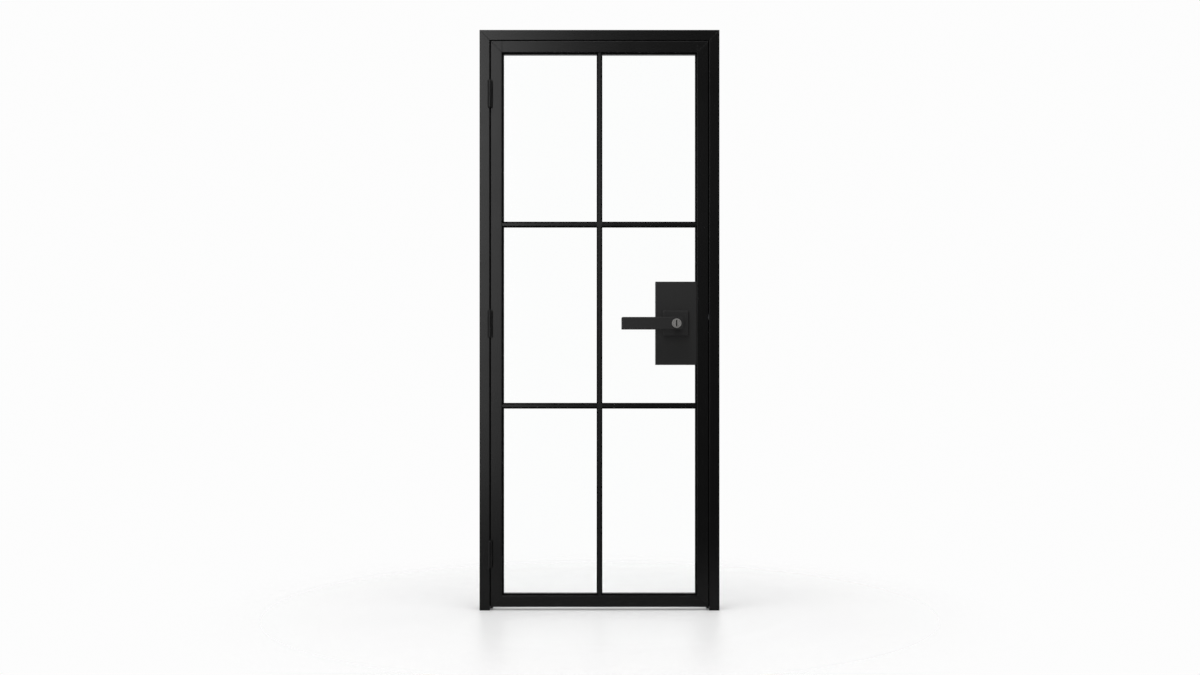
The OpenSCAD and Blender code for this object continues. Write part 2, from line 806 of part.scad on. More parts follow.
// Window of a pane in the left column, set in from the leaf's inner edges and the bars' sides
module window(row, edge_w, bar_side_w, inset) {
  span = row_spans(edge_w, bar_side_w)[row];
  rect([edge_w - leaf_x + inset, span[0] + inset], [-bar_side_w / 2 - inset, span[1] - inset]);
}

// Room that the lock box takes in the notched pane's window, set in from the box's outside
module box_room(inset) {
  rect([-leaf_x, box_z0 + inset], [-box_x0 - inset, box_z1 - inset]);
}

// Outline of a pane in the left column; the notched one leaves room for the lock box
module glass_outline(row, notched) {
  difference() {
    window(row, tube_w, bar_web, glass_clear);
    if (notched) box_room(box_lap);
  }
}

// Clear view of a pane, set in from the edges of the glazing legs
module daylight(row, notched, inset) {
  difference() {
    window(row, sight_w, bar_w, inset);
    if (notched) box_room(gasket_inset);
  }
}

// Only the middle pane of the right column is notched
function is_notched(side, row) = side == 1 && row == 1;

module pane(side, row) {
  mirror([side, 0, 0]) slab(glass_y, glass_t) glass_outline(row, is_notched(side, row));
}

module bottom_left_pane() { color(clear_glass) pane(0, 0); }
module middle_left_pane() { color(clear_glass) pane(0, 1); }
module top_left_pane() { color(clear_glass) pane(0, 2); }
module bottom_right_pane() { color(clear_glass) pane(1, 0); }
module middle_right_pane() { color(clear_glass) pane(1, 1); }
module top_right_pane() { color(clear_glass) pane(1, 2); }

// Flat of a gasket between the glass and the steel that clamps it
module gasket_flat(row, notched, y, inset) {
  slab(y, gasket_t) difference() {
    glass_outline(row, notched);
    daylight(row, notched, inset);
  }
}

// Channel of the front gasket, pushed over the glazing legs: the wrap at their edges and the lip before them
module gasket_channel(row, notched) {
  difference() {
    union() {
      slab(lip_y, glass_y - lip_y) difference() {
        daylight(row, false, 0);
        daylight(row, false, gasket_wrap);
      }
      slab(lip_y, lip_t) difference() {
        window(row, stile_face, strip_w, slip_clear);
        daylight(row, false, gasket_wrap);
      }
    }
    for (z = [lower_bar_z, upper_bar_z]) crossing_boss(z, leg_y, slip_clear);
    if (notched) slab(lip_y - overrun, glass_y - lip_y + 2 * overrun) box_room(-slip_clear);
  }
}

module glazing_gaskets() {
  color(black_rubber) for (side = [0, 1], row = rows) mirror([side, 0, 0]) {
    gasket_flat(row, is_notched(side, row), leg_back_y, gasket_wrap);
    gasket_channel(row, is_notched(side, row));
    gasket_flat(row, is_notched(side, row), glass_back_y, -gasket_inset);
  }
}

// Channel-shaped length of glazing bead between two corners in X and Z, open towards the rebate
module bead_run(lo, hi, open) {
  inner_lo = [for (i = [0, 1]) lo[i] + (open[i] > 0 ? bead_wall : -overrun)];
  inner_hi = [for (i = [0, 1]) hi[i] - (open[i] < 0 ? bead_wall : -overrun)];
  difference() {
    box([lo[0], bead_y, lo[1]], [hi[0], bead_back_y, hi[1]]);
    box([inner_lo[0], bead_y + bead_wall, inner_lo[1]], [inner_hi[0], bead_back_y - bead_wall, inner_hi[1]]);
  }
}

module pane_beads(row, notched) {
  low = rebate_z[row][0];
  high = rebate_z[row][1];
  stile_spans = notched ? [[low, box_z0 - slip_clear], [box_z1 + slip_clear, high]] : [[low, high]];
  for (span = stile_spans) bead_run([tube_w - leaf_x, span[0]], [sight_w - leaf_x, span[1]], [-1, 0]);
  bead_run([-bar_w / 2, low], [-bar_web / 2, high], [1, 0]);
  bead_run([sight_w - leaf_x + bead_joint, low], [-bar_w / 2 - bead_joint, sight_z[row][0]], [0, -1]);
  bead_run([sight_w - leaf_x + bead_joint, sight_z[row][1]], [-bar_w / 2 - bead_joint, high], [0, 1]);
}

module glazing_beads() {
  color(black_steel) difference() {
    for (side = [0, 1], row = rows) mirror([side, 0, 0]) pane_beads(row, is_notched(side, row));
    for (side = [0, 1]) each_bead_screw(side) csk_hole(bead_screw_d, $bead_screw_len);
  }
}

module setting_blocks() {
  pane_w = leaf_x - tube_w - bar_web / 2;
  color(black_rubber) for (side = [0, 1], span = rebate_z, share = block_shares) mirror([side, 0, 0])
    translate([tube_w - leaf_x + share * pane_w, 0, span[0]])
      box([-block_len / 2, glass_y, 0], [block_len / 2, glass_back_y, glass_clear]);
}

// Cylinder on the lever axis between two depths
module axis_cylinder(y0, y1, d) {
  translate([axis_x, y1, lock_z]) rotate([90, 0, 0]) cylinder(h = y1 - y0, d = d);
}

// Square bar on the lever axis between two depths
module axis_square(y0, y1, w) {
  box([axis_x - w / 2, y0, lock_z - w / 2], [axis_x + w / 2, y1, lock_z + w / 2]);
}

module each_rose_bolt() {
  for (end = [-1, 1]) translate([axis_x, box_y + rose_t, lock_z + end * rose_bolt_offset]) rotate([-90, 0, 0])
    children();
}

// Holes of a lock box pan for the lever's neck and the rose bolts
module pan_holes() {
  axis_cylinder(-leaf_t, leaf_t, neck_d + 2 * neck_clear);
  each_rose_bolt() translate([0, 0, -rose_bolt_len])
    cylinder(h = rose_bolt_len, d = rose_bolt_d + 2 * slip_clear);
}

// Sheet pan of the lock box with its face to the front, folded at three sides and open towards the stile
module pan(end_x, depth) {
  lo = [box_x0, box_z0];
  hi = [end_x, box_z1];
  difference() {
    soft_plate(lo, hi + [fold_r, 0], -box_y, depth, depth + fold_r, fold_r) rect(lo, hi);
    box([box_x0 + box_wall, box_wall - box_y, box_z0 + box_wall],
        [leaf_x, depth - box_y + overrun, box_z1 - box_wall]);
    pan_holes();
  }
}

module lock_box_front() { color(dark_steel) pan(leaf_x - stile_face - slip_clear, leg_back_y + box_y); }
module lock_box_back() { color(dark_steel) mirror([0, 1, 0]) pan(leaf_x - tube_w, box_y - bead_y); }

// Tray of the lock case, with the wall that the latch spring pushes on
module lock_case() {
  color(bare_steel) difference() {
    union() {
      difference() {
        box([case_x0, case_wall - case_t / 2, case_z0], [plate_x, case_t / 2, case_z1]);
        box([case_x0 + case_wall, -case_t / 2, case_z0 + case_wall],
            [plate_x - case_wall, case_t / 2 - case_wall, case_z1 - case_wall]);
      }
      box([spring_seat_x, case_wall - case_t / 2, tail_z - tail_w],
          [spring_seat_x + case_wall, (case_t - case_wall) / 2, case_z1 - case_wall / 2]);
    }
    box([spring_seat_x - overrun, -tail_w / 2 - slip_clear, tail_z - slip_clear],
        [spring_seat_x + case_wall + overrun, tail_w / 2 + slip_clear, tail_z + tail_t + slip_clear]);
    bolt_opening(plate_x - case_wall, case_wall, slip_clear);
    axis_cylinder(0, case_t, hub_d + 2 * running_fit);
    each_rivet() translate([0, 0, -overrun]) cylinder(h = case_t + 2 * overrun, d = rivet_d);
  }
}

module lock_case_cover() {
  color(bare_steel) difference() {
    box([case_x0, -case_t / 2, case_z0], [plate_x, case_wall - case_t / 2, case_z1]);
    axis_cylinder(-case_t, 0, hub_d + 2 * running_fit);
    each_rivet() translate([0, 0, -overrun]) cylinder(h = case_t + 2 * overrun, d = rivet_d);
  }
}

// Rivet places at three corners of the case, with Z running from its back to its cover
module each_rivet() {
  near_x = case_x0 + rivet_inset;
  far_x = plate_x - rivet_inset;
  low_z = case_z0 + rivet_inset;
  high_z = case_z1 - rivet_inset;
  for (place = [[near_x, low_z], [near_x, high_z], [far_x, low_z]])
    translate([place[0], case_t / 2, place[1]]) rotate([90, 0, 0]) children();
}

module case_rivets() {
  color(bare_steel) each_rivet() cylinder(h = case_t, d = rivet_d - seat_fit);
}

module face_plate() {
  color(bare_steel) difference() {
    at_face_plate() let_in_plate(face_plate_h);
    bolt_opening(plate_x, plate_t, slip_clear);
  }
}

module face_plate_screws() {
  color(bare_steel) at_face_plate() plate_screw_places(face_plate_h)
    csk_screw(plate_screw_d, plate_t + lug_t);
}

// Latch bolt, bevelled on its closing side, with the hooked tail that the follower pulls
module latch_bolt() {
  tip_x = leaf_x + bolt_throw;
  color(bare_steel) {
    translate([0, 0, bolt_z - bolt_h / 2]) linear_extrude(bolt_h)
      polygon([[bolt_back_x, -bolt_w / 2], [tip_x, -bolt_w / 2], [tip_x, bolt_nose - bolt_w / 2],
               [leaf_x + slip_clear, bolt_w / 2], [bolt_back_x, bolt_w / 2]]);
    box([hook_x - tail_t, -tail_w / 2, tail_z], [bolt_back_x + tail_t, tail_w / 2, tail_z + tail_t]);
    box([hook_x - tail_t, -tail_w / 2, lock_z + hub_d / 2 + finger_clear],
        [hook_x, tail_w / 2, tail_z + tail_t]);
  }
}

// Centre of the latch spring's wire at a turn counted from the seat
function coil_point(turn) = [
  coil_x0 + (coil_x1 - coil_x0) * turn / coil_turns,
  coil_r * cos(360 * turn),
  tail_z + tail_t / 2 + coil_r * sin(360 * turn)
];

// Ring of points round the wire at a turn
function coil_ring(turn) = [for (side = [0 : coil_sides - 1])
  let (a = 360 * side / coil_sides, reach = wire_d / 2 * cos(a))
  coil_point(turn) + [wire_d / 2 * sin(a), reach * cos(360 * turn), reach * sin(360 * turn)]];

module latch_spring() {
  rings = coil_turns * coil_steps;
  points = [for (i = [0 : rings]) each coil_ring(i / coil_steps)];
  walls = [for (i = [0 : rings - 1], j = [0 : coil_sides - 1])
    let (k = (j + 1) % coil_sides, a = i * coil_sides, b = a + coil_sides)
    each [[a + j, b + j, b + k], [a + j, b + k, a + k]]];
  first = [for (j = [0 : coil_sides - 1]) j];
  last = [for (j = [coil_sides - 1 : -1 : 0]) rings * coil_sides + j];
  color(bare_steel) polyhedron(points, concat(walls, [first, last]));
}

// Square rose on the outer side of the lock box
module rose() {
  lo = [axis_x - rose_w / 2, lock_z - rose_w / 2];
  hi = lo + [rose_w, rose_w];
  soft_plate(lo, hi, -box_y - rose_t, rose_t, rose_t + rose_edge_r, rose_edge_r)
    translate(lo) rounded_rect(rose_w, rose_w, edge_r);
}

module outer_rose() {
  color(dark_steel) difference() {
    rose();
    axis_cylinder(-leaf_t, 0, neck_d + 2 * neck_clear);
    each_rose_bolt() translate([0, 0, -rose_bolt_len - seat_fit])
      cylinder(h = rose_bolt_len, d = rose_bolt_d + 2 * seat_fit);
  }
}

module inner_rose() {
  color(dark_steel) difference() {
    mirror([0, 1, 0]) rose();
    axis_cylinder(0, leaf_t, neck_d + 2 * neck_clear);
    each_rose_bolt() csk_hole(rose_bolt_d, rose_t + overrun);
  }
}

module rose_bolts() {
  color(dark_steel) each_rose_bolt() csk_screw(rose_bolt_d, rose_bolt_len);
}

// Lever outline: a small radius at its tip and a larger one at the end by the stile
module lever_outline() {
  rounded_rect(lever_len - lever_corner_r, lever_h, lever_tip_r);
  translate([lever_len / 2, 0]) rounded_rect(lever_len / 2, lever_h, lever_corner_r);
}

// Outer lever: its grip, the neck through the rose, the cylinder's seat and the spindle's socket
module lever() {
  lo = [axis_x + lever_tail - lever_len, lock_z - lever_h / 2];
  hi = lo + [lever_len, lever_h];
  difference() {
    union() {
      soft_plate(lo, hi, -lever_y, lever_t, lever_t, lever_edge_r) translate(lo) lever_outline();
      axis_cylinder(cylinder_depth - lever_y, -neck_end_y, neck_d);
    }
    axis_cylinder(-lever_y - overrun, cylinder_depth - lever_y, cylinder_d + 2 * seat_fit);
    axis_square(-spindle_y - seat_fit, overrun - neck_end_y, spindle_w + 2 * seat_fit);
  }
}

module outer_lever() { color(dark_steel) lever(); }
module inner_lever() { color(dark_steel) mirror([0, 1, 0]) lever(); }

module spindle() {
  color(bare_steel) axis_square(-spindle_y, spindle_y, spindle_w);
}

// Follower in the lock case: a hub on the spindle and the finger that pulls the latch
module follower() {
  color(bare_steel) difference() {
    union() {
      axis_cylinder(-case_t / 2, case_t / 2, hub_d);
      box([axis_x - finger_w / 2, -tail_w / 2, lock_z],
          [axis_x + finger_w / 2, tail_w / 2, lock_z + finger_reach]);
    }
    axis_square(-case_t, case_t, spindle_w + 2 * seat_fit);
  }
}

// Housing of a key cylinder, let into the lever's face
module cylinder_housing() {
  difference() {
    axis_cylinder(-lever_y - cylinder_proud, cylinder_depth - lever_y - seat_fit, cylinder_d);
    axis_cylinder(-lever_y - cylinder_proud - overrun, cylinder_depth - lever_y - cylinder_floor,
                  plug_d + 2 * running_fit);
  }
}

// Turning plug with a keyway in two parts
module key_plug() {
  face_y = -lever_y - cylinder_proud;
  difference() {
    axis_cylinder(face_y, cylinder_depth - lever_y - cylinder_floor - slip_clear, plug_d);
    for (end = [0, 1]) translate([axis_x, face_y, lock_z]) mirror([0, 0, end])
      box([-keyway_w / 2, -overrun, keyway_bridge / 2], [keyway_w / 2, keyway_depth, keyway_h / 2]);
  }
}

module outer_cylinder() { color(bare_steel) cylinder_housing(); }
module inner_cylinder() { color(bare_steel) mirror([0, 1, 0]) cylinder_housing(); }
module outer_plug() { color(bare_steel) key_plug(); }
module inner_plug() { color(bare_steel) mirror([0, 1, 0]) key_plug(); }

hinge_jamb();
strike_jamb();
head();
hinge_side_seal();
strike_side_seal();
head_seal();
fixing_sleeves();
foot_plates();
strike_plate();
strike_box();
strike_screws();
bottom_jamb_knuckle();
middle_jamb_knuckle();
top_jamb_knuckle();
hinge_pins();
hinge_washers();
jamb_hinge_screws();
hinge_stile();
lock_stile();
top_rail();
bottom_rail();
vertical_bar();
upper_left_bar();
upper_right_bar();
lower_left_bar();
lower_right_bar();
bottom_left_pane();
middle_left_pane();
top_left_pane();
bottom_right_pane();
middle_right_pane();
top_right_pane();
glazing_gaskets();
glazing_beads();
bead_screws();
setting_blocks();
bottom_leaf_knuckle();
middle_leaf_knuckle();
top_leaf_knuckle();
leaf_hinge_screws();
lock_box_front();
lock_box_back();
lock_case();
lock_case_cover();
case_rivets();
face_plate();
face_plate_screws();
outer_rose();
inner_rose();
rose_bolts();
latch_bolt();
latch_spring();
outer_lever();
inner_lever();
spindle();
follower();
outer_cylinder();
inner_cylinder();
outer_plug();
inner_plug();
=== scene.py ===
"""Looks of the steel-framed glass door: finishes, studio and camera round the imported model."""

import json
import math

import bpy
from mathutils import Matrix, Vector


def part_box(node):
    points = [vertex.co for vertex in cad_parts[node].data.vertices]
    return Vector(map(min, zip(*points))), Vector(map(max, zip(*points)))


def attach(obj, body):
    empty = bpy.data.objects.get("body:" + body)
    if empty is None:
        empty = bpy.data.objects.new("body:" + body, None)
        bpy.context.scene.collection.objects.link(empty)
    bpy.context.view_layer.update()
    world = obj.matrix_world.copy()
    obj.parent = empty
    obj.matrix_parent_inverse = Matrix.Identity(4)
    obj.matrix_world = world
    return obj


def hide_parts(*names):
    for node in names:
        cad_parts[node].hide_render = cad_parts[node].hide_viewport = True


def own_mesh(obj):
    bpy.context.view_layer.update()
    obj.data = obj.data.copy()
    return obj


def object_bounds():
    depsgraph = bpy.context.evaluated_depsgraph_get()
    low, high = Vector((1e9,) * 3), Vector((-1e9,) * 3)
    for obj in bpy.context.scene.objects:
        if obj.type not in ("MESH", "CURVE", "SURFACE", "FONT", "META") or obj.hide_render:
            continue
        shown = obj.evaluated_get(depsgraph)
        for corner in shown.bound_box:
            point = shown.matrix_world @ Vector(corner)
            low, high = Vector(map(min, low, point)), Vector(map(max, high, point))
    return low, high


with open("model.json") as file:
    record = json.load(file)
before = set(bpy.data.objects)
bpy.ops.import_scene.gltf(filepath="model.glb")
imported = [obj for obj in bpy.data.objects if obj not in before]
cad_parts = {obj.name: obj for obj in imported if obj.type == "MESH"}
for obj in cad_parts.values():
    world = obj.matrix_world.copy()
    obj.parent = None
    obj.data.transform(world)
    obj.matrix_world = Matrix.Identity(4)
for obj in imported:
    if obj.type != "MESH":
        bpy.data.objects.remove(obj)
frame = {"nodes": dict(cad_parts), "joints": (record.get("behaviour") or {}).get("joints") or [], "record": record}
cad_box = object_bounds()

NODES = frame["nodes"]
JOINTS = {joint["name"]: joint for joint in frame["joints"]}
FRONT_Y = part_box("hinge_jamb")[0].y
LEVER_AXIS = Vector(JOINTS["lever_turn"]["pos_m"])
PLUG_FACE = LEVER_AXIS.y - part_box("outer_plug")[0].y

# Camera: the photograph is 1200 x 675 pixels, taken level and square to the door
PHOTO_W, PHOTO_H = 1200, 675
DOOR_CENTRE_PX = 599.5
FLOOR_LINE_PX = 610.5
DOOR_TOP_PX = 29.8
CAMERA_DISTANCE = 5.5
SENSOR_WIDTH_MM = 36.0

# Radius to which shading rounds the edges of the coated steel, and of the lock
STEEL_EDGE_R, LOCK_EDGE_R = 0.0012, 0.003

# Painted shade in and round a keyway, standing in for its dark lead-in: half the width and half the height of the
# shaded patch, and the depth to which light reaches
KEYWAY_HALF_W, KEYWAY_HALF_H, KEYWAY_LIT_DEPTH = 0.0023, 0.0115, 0.001
KEYWAY_SOFT_EDGE = 0.0004
# Colour of the painted shade in the keyway
KEYWAY_SHADE_LEVEL = 0.002

# Radiance of the studio's light sources, where 1 is white
BACKGROUND = 0.98
WORLD_FILL = 0.64
CURTAIN_LEVEL = 0.12
KEY = 9.7
KEY_FOOT_SHARE = 0.35
OVERHEAD = 4.5
OVERHEAD_ON_PART = 12.0
LOCK_LIGHT = 16.0
FLOOR_GLOW = 0.08

# Softboxes: their places, widths and heights, and the share of each side over which they fade out
KEY_PLACE, KEY_SIZE = Vector((-1.08, -4.2, 1.75)), (1.5, 4.9)
LOCK_LIGHT_PLACE, LOCK_LIGHT_SIZE = Vector((0.05, -0.45, 1.55)), (0.3, 0.2)
ON_PART_PLACE, ON_PART_SIZE = Vector((-0.5, -1.0, 3.6)), (1.6, 1.2)
OVERHEAD_PLACE, OVERHEAD_SIZE = Vector((-0.2, -1.0, 4.0)), (3.4, 2.6)
OVERHEAD_TARGET = Vector((0, 0, 0.9))
BORDER_SHARE = 0.25

# The floor is whole near the door and fades into the background, in metres from the origin
FLOOR_WHOLE, FLOOR_GONE = 0.5, 1.5

# Most values of a noise lie between these
NOISE_LOW, NOISE_HIGH = 0.3, 0.7

WHITE = (1, 1, 1, 1)
UPRIGHT = (math.radians(90), 0, 0)


def new_material(name):
    """An empty node material, with its node tree."""
    material = bpy.data.materials.new(name)
    material.use_nodes = True
    tree = material.node_tree
    tree.nodes.clear()
    return material, tree


def put(tree, socket, value):
    """Gives an input socket a plain value, or a link where the value is another node's socket."""
    if isinstance(value, bpy.types.NodeSocket):
        tree.links.new(value, socket)
    else:
        socket.default_value = value


def add(tree, kind, **sockets):
    """A node with values or links on its named sockets."""
    node = tree.nodes.new(kind)
    for name, value in sockets.items():
        put(tree, node.inputs[name.replace("_", " ")], value)
    return node


def object_coords(tree):
    """The place on the piece in metres, which moves with the piece."""
    return add(tree, "ShaderNodeTexCoord").outputs["Object"]


def noise(tree, coords, scale, detail=3.0):
    """Noise value from 0 to 1 over the surface; scale counts features per unit of the coordinates."""
    return add(tree, "ShaderNodeTexNoise", Vector=coords, Scale=scale, Detail=detail).outputs["Fac"]


def ramp(tree, value, start, end, low, high, interpolation="LINEAR"):
    """A value between start and end, mapped to low and high and held at both ends."""
    node = add(tree, "ShaderNodeMapRange", Value=value)
    node.interpolation_type = interpolation
    for name, limit in (("From Min", start), ("From Max", end), ("To Min", low), ("To Max", high)):
        node.inputs[name].default_value = limit
    return node.outputs["Result"]


def spread(tree, value, low, high):
    """The middle of a noise's range, mapped to low and high."""
    return ramp(tree, value, NOISE_LOW, NOISE_HIGH, low, high)


def combine(tree, operation, first, second):
    """A maths node on a value and a second value or number."""
    node = tree.nodes.new("ShaderNodeMath")
    node.operation = operation
    put(tree, node.inputs[0], first)
    put(tree, node.inputs[1], second)
    return node.outputs["Value"]


def distance(tree, coords, keep, axis):
    """Distance from an axis; keep is 1 for the coordinates that count and 0 for the others."""
    flat = tree.nodes.new("ShaderNodeVectorMath")
    flat.operation = "MULTIPLY_ADD"
    tree.links.new(coords, flat.inputs[0])
    flat.inputs[1].default_value = keep
    flat.inputs[2].default_value = [-a * k for a, k in zip(axis, keep)]
    length = tree.nodes.new("ShaderNodeVectorMath")
    length.operation = "LENGTH"
    tree.links.new(flat.outputs["Vector"], length.inputs[0])
    return length.outputs["Value"]


def grey(level):
    """An opaque grey."""
    return (level, level, level, 1)


def tint(tree, value, dark, light):
    """A colour between dark and light, by a value from 0 to 1."""
    # A mix node has sockets for every kind of data; these are the numbers of those for colours
    factor, first, second, result = 0, 6, 7, 2
    node = tree.nodes.new("ShaderNodeMix")
    node.data_type = "RGBA"
    put(tree, node.inputs[factor], value)
    put(tree, node.inputs[first], dark)
    put(tree, node.inputs[second], light)
    return node.outputs[result]


def relief(tree, height, strength, depth, **base):
    """The normal of a surface that a height from 0 to 1 shapes, to a depth in metres."""
    bump = add(tree, "ShaderNodeBump", Height=height, Strength=strength, Distance=depth, **base)
    return bump.outputs["Normal"]


def surface(tree, **sockets):
    """A principled shader with values or links on its named sockets."""
    return add(tree, "ShaderNodeBsdfPrincipled", **sockets).outputs["BSDF"]


def white_glow(tree, radiance):
    """A shader that gives off white light."""
    return add(tree, "ShaderNodeEmission", Color=WHITE, Strength=radiance).outputs["Emission"]


def mix(tree, share, first, second):
    """Two shaders, mixed by the share of the second."""
    node = tree.nodes.new("ShaderNodeMixShader")
    for socket, source in zip(node.inputs, (share, first, second)):
        tree.links.new(source, socket)
    return node.outputs["Shader"]


def shell(tree, material, shader):
    """Links a shader to the material's output."""
    output = tree.nodes.new("ShaderNodeOutputMaterial")
    tree.links.new(shader, output.inputs["Surface"])
    return material


def powder_coat(name, dark, light, rough, specular, edge_r):
    """Powder coat: fine orange peel, rounded edges, slight cloudiness in colour and gloss."""
    clouds_per_m, gloss_clouds_per_m, rough_swing = 4.0, 12.0, 0.012
    peel_per_m, strength, depth = 700.0, 0.05, 0.0002
    edge_samples = 8
    material, tree = new_material(name)
    coords = object_coords(tree)
    peel = noise(tree, coords, peel_per_m, detail=1.0)
    gloss = noise(tree, coords, gloss_clouds_per_m)
    edges = add(tree, "ShaderNodeBevel", Radius=edge_r)
    edges.samples = edge_samples
    coat = surface(
        tree,
        Base_Color=tint(tree, noise(tree, coords, clouds_per_m), grey(dark), grey(light)),
        Roughness=spread(tree, gloss, rough - rough_swing, rough + rough_swing),
        Specular_IOR_Level=specular,
        Normal=relief(tree, peel, strength, depth, Normal=edges.outputs["Normal"]),
    )
    return shell(tree, material, coat)


def metal(name, dark, light, rough, grain):
    """Bare or plated metal; grain counts the brushing's features per metre along each axis."""
    strength, depth, rough_swing = 0.1, 0.0001, 0.06
    material, tree = new_material(name)
    mapping = add(tree, "ShaderNodeMapping", Vector=object_coords(tree), Scale=grain)
    brushing = noise(tree, mapping.outputs["Vector"], scale=1.0, detail=4.0)
    brushed = surface(
        tree,
        Base_Color=tint(tree, brushing, grey(dark), grey(light)),
        Roughness=spread(tree, brushing, rough - rough_swing, rough + rough_swing),
        Metallic=1.0,
        Normal=relief(tree, brushing, strength, depth),
    )
    return shell(tree, material, brushed)


def turned_metal(name, dark, light, rough, axis, face):
    """Plated metal turned round an axis along Y, with painted shade in and beside its keyway and below its face.
    """
    rings_per_m, strength, depth, rough_swing = 3500.0, 0.25, 0.0001, 0.05
    material, tree = new_material(name)
    coords = object_coords(tree)
    pattern = tree.nodes.new("ShaderNodeTexNoise")
    pattern.noise_dimensions = "1D"
    pattern.inputs["Scale"].default_value = rings_per_m
    tree.links.new(distance(tree, coords, (1, 0, 1), axis), pattern.inputs["W"])
    rings = pattern.outputs["Fac"]
    across = distance(tree, coords, (1, 0, 0), axis)
    along = distance(tree, coords, (0, 0, 1), axis)
    from_middle = distance(tree, coords, (0, 1, 0), axis)
    beside = ramp(tree, across, KEYWAY_HALF_W - KEYWAY_SOFT_EDGE, KEYWAY_HALF_W, 0, 1)
    beyond = ramp(tree, along, KEYWAY_HALF_H - KEYWAY_SOFT_EDGE, KEYWAY_HALF_H, 0, 1)
    lit = ramp(tree, from_middle, face - 2 * KEYWAY_LIT_DEPTH, face - KEYWAY_LIT_DEPTH, 0, 1)
    in_light = combine(tree, "MINIMUM", combine(tree, "MAXIMUM", beside, beyond), lit)
    plated = surface(
        tree,
        # Painted shade where in_light is 0: in and round the keyway, and below the face
        Base_Color=tint(tree, in_light, grey(KEYWAY_SHADE_LEVEL), tint(tree, rings, dark, light)),
        Roughness=spread(tree, rings, rough - rough_swing, rough + rough_swing),
        Metallic=1.0,
        Normal=relief(tree, rings, strength, depth),
    )
    return shell(tree, material, plated)


def moulded_rubber(name, dark, light, smooth, rough, specular):
    """Matt black rubber with a fine grain."""
    clouds_per_m = 12.0
    grains_per_m, strength, depth = 900.0, 0.15, 0.0002
    material, tree = new_material(name)
    coords = object_coords(tree)
    grain = noise(tree, coords, grains_per_m, detail=2.0)
    rubber = surface(
        tree,
        Base_Color=tint(tree, noise(tree, coords, clouds_per_m), grey(dark), grey(light)),
        Roughness=spread(tree, grain, smooth, rough),
        Specular_IOR_Level=specular,
        Normal=relief(tree, grain, strength, depth),
    )
    return shell(tree, material, rubber)


def clear_glass(name, dark, light, in_shadow, gloss):
    """Clear float glass with a barely uneven tint; its shadow has the colour in_shadow."""
    clouds_per_m = 3.0
    material, tree = new_material(name)
    clouds = noise(tree, object_coords(tree), clouds_per_m)
    pane = surface(
        tree,
        Base_Color=tint(tree, clouds, dark, light),
        Roughness=0.0,
        IOR=1.5,
        Specular_Tint=grey(gloss),
        Transmission_Weight=1.0,
    )
    clear = add(tree, "ShaderNodeBsdfTransparent", Color=in_shadow)
    path = tree.nodes.new("ShaderNodeLightPath")
    both = mix(tree, path.outputs["Is Shadow Ray"], pane, clear.outputs["BSDF"])
    return shell(tree, material, both)


MATERIALS = {
    "black_steel": powder_coat(
        "black_steel", dark=0.002, light=0.003, rough=0.26, specular=0.15, edge_r=STEEL_EDGE_R
    ),
    # A duller copy of the black steel for the upright bar, painted a little lighter for the light that catches its
    # strip
    "dull_steel_with_painted_light": powder_coat(
        "dull_steel_with_painted_light", dark=0.003, light=0.004, rough=0.35, specular=0.17, edge_r=STEEL_EDGE_R
    ),
    "lock_black": powder_coat(
        "lock_black", dark=0.0115, light=0.0145, rough=0.42, specular=0.14, edge_r=LOCK_EDGE_R
    ),
    "nickel": turned_metal(
        "nickel",
        dark=(0.27, 0.266, 0.258, 1),
        light=(0.39, 0.385, 0.373, 1),
        rough=0.3,
        axis=LEVER_AXIS,
        face=PLUG_FACE,
    ),
    "plain_steel": metal("plain_steel", dark=0.2, light=0.3, rough=0.38, grain=(40, 40, 900)),
    "rubber": moulded_rubber("rubber", dark=0.001, light=0.002, smooth=0.7, rough=0.85, specular=0.05),
    "glass": clear_glass(
        "glass",
        dark=(0.99, 0.998, 0.994, 1),
        light=(0.997, 1.0, 0.999, 1),
        in_shadow=(0.98, 0.985, 0.982, 1),
        gloss=0.03,
    ),
}


def dress_nodes():
    """Gives every CAD node the finish of its material slot; the upright bar is a little duller, and painted a
    little lighter for the light that its strip catches.
    """
    for part in frame["record"]["subparts"]:
        slots = NODES[part["node"]].data.materials
        slots.clear()
        finish = "dull_steel_with_painted_light" if part["node"] == "vertical_bar" else part["material_slot"]
        slots.append(MATERIALS[finish])


def make_latch_coil():
    """The latch spring as a piece of its own, which rides with the leaf."""
    coil = bpy.data.objects.new("latch_coil", NODES["latch_spring"].data.copy())
    bpy.context.scene.collection.objects.link(coil)
    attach(coil, "leaf")
    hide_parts("latch_spring")
    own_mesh(coil)


def background_rays(tree):
    """1 for the rays that see the background: from the camera, in reflections and through glass."""
    path = tree.nodes.new("ShaderNodeLightPath")
    value = path.outputs["Is Camera Ray"]
    for name in ("Is Glossy Ray", "Is Transmission Ray"):
        value = combine(tree, "MAXIMUM", value, path.outputs[name])
    return value


def plane(name, size=1):
    """A square that lies flat round the origin."""
    bpy.ops.mesh.primitive_plane_add(size=size)
    square = bpy.context.object
    square.name = name
    return square


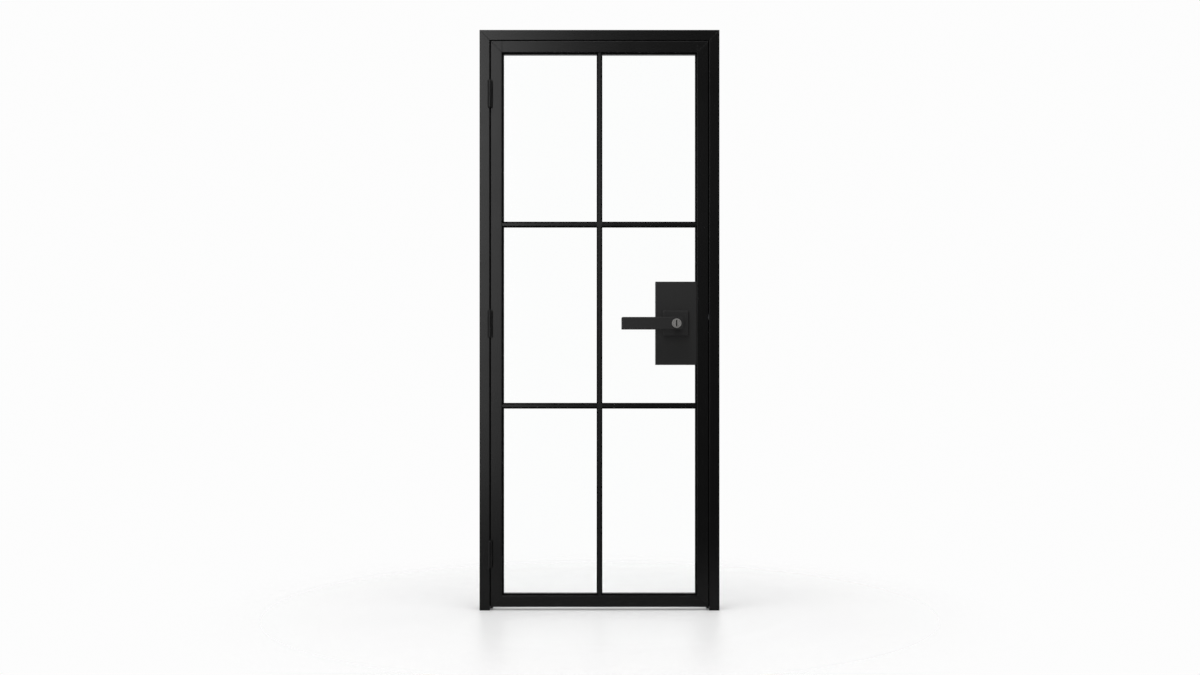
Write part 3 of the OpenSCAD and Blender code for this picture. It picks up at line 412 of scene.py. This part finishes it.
def make_floor():
    """A pale floor with a soft gloss that fades into the white background."""
    clouds_per_m, dark, light = 2.0, 0.93, 0.95
    gloss_clouds_per_m, smooth, rough = 5.0, 0.36, 0.4
    floor = plane("floor", 2 * FLOOR_GONE)
    material, tree = new_material("floor")
    coords = object_coords(tree)
    paint = surface(
        tree,
        Base_Color=tint(tree, noise(tree, coords, clouds_per_m), grey(dark), grey(light)),
        Roughness=spread(tree, noise(tree, coords, gloss_clouds_per_m), smooth, rough),
        Specular_IOR_Level=0.22,
    )
    glow = white_glow(tree, combine(tree, "MULTIPLY", background_rays(tree), FLOOR_GLOW))
    both = tree.nodes.new("ShaderNodeAddShader")
    tree.links.new(paint, both.inputs[0])
    tree.links.new(glow, both.inputs[1])
    radius = distance(tree, coords, (1, 1, 0), (0, 0, 0))
    faded = ramp(tree, radius, FLOOR_WHOLE, FLOOR_GONE, 0, 1, "SMOOTHSTEP")
    nothing = tree.nodes.new("ShaderNodeBsdfTransparent").outputs["BSDF"]
    floor.data.materials.append(shell(tree, material, mix(tree, faded, both.outputs["Shader"], nothing)))
    return floor


def make_curtain():
    """A dark curtain behind the camera and to its right, seen only in reflections."""
    left, right, low, high, far = -4.5, 20.0, -4.0, 12.0, 8.0
    curtain = plane("curtain")
    curtain.scale = (right - left, high - low, 1)
    curtain.rotation_euler = UPRIGHT
    curtain.location = ((left + right) / 2, -far, (low + high) / 2)
    curtain.visible_camera = False
    curtain.visible_diffuse = False
    curtain.visible_transmission = False
    curtain.visible_shadow = False
    material, tree = new_material("curtain")
    curtain.data.materials.append(shell(tree, material, white_glow(tree, CURTAIN_LEVEL)))


def make_world():
    """White behind the object, and a plain grey fill for its lighting."""
    world = bpy.data.worlds.new("studio")
    bpy.context.scene.world = world
    world.use_nodes = True
    tree = world.node_tree
    tree.nodes.clear()
    level = ramp(tree, background_rays(tree), 0, 1, WORLD_FILL, BACKGROUND)
    back = add(tree, "ShaderNodeBackground", Color=WHITE, Strength=level)
    output = tree.nodes.new("ShaderNodeOutputWorld")
    tree.links.new(back.outputs["Background"], output.inputs["Surface"])


def softbox(name, place, target, size, radiance, foot_share=1.0):
    """A glowing rectangle that faces its target, with soft edges; foot_share is how bright its foot is."""
    box = plane(name)
    box.scale = (*size, 1)
    box.location = place
    box.rotation_euler = (target - place).to_track_quat("Z", "Y").to_euler()
    box.visible_camera = False
    box.visible_transmission = False
    material, tree = new_material(name)
    # The generated coordinates run from 0 to 1 over the rectangle
    middle = 0.5
    coords = add(tree, "ShaderNodeTexCoord").outputs["Generated"]
    across = add(tree, "ShaderNodeSeparateXYZ", Vector=coords)
    level = combine(tree, "MULTIPLY", ramp(tree, across.outputs["Y"], 0, 1, foot_share, 1), radiance)
    for axis in "XY":
        from_edge = combine(tree, "PINGPONG", across.outputs[axis], middle)
        soft = ramp(tree, from_edge, 0, BORDER_SHARE, 0, 1, "SMOOTHSTEP")
        level = combine(tree, "MULTIPLY", level, soft)
    box.data.materials.append(shell(tree, material, white_glow(tree, level)))
    return box


def make_lights(floor):
    """A tall card that only gloss shows, two softboxes for the part alone, and one for all, overhead."""
    straight_behind = Vector((KEY_PLACE.x, 0, KEY_PLACE.z))
    key = softbox("key", KEY_PLACE, straight_behind, KEY_SIZE, KEY, KEY_FOOT_SHARE)
    key.visible_diffuse = False
    lock = softbox("lock_light", LOCK_LIGHT_PLACE, LEVER_AXIS, LOCK_LIGHT_SIZE, LOCK_LIGHT)
    lock.visible_glossy = False
    lock.visible_shadow = False
    on_part = softbox("overhead_on_part", ON_PART_PLACE, OVERHEAD_TARGET, ON_PART_SIZE, OVERHEAD_ON_PART)
    on_part.visible_shadow = False
    # These three leave the floor out
    unlit = bpy.data.collections.new("not_lit")
    unlit.objects.link(floor)
    unlit.collection_objects[0].light_linking.link_state = "EXCLUDE"
    for light in (key, lock, on_part):
        light.light_linking.receiver_collection = unlit
    softbox("overhead", OVERHEAD_PLACE, OVERHEAD_TARGET, OVERHEAD_SIZE, OVERHEAD)


def make_camera():
    """Level and square to the door, framed as the photograph."""
    door_height = cad_box[1][2] - cad_box[0][2]
    metres_per_px = door_height / (FLOOR_LINE_PX - DOOR_TOP_PX)
    camera = bpy.data.cameras.new("camera")
    camera.sensor_width = SENSOR_WIDTH_MM
    camera.lens = SENSOR_WIDTH_MM * CAMERA_DISTANCE / (metres_per_px * PHOTO_W)
    holder = bpy.data.objects.new("camera", camera)
    holder.location = (
        (PHOTO_W / 2 - DOOR_CENTRE_PX) * metres_per_px,
        FRONT_Y - CAMERA_DISTANCE,
        (FLOOR_LINE_PX - PHOTO_H / 2) * metres_per_px,
    )
    holder.rotation_euler = UPRIGHT
    bpy.context.scene.collection.objects.link(holder)
    bpy.context.scene.camera = holder


dress_nodes()
make_latch_coil()
floor = make_floor()
make_curtain()
make_world()
make_lights(floor)
make_camera()
bpy.context.scene.view_settings.view_transform = "Standard"
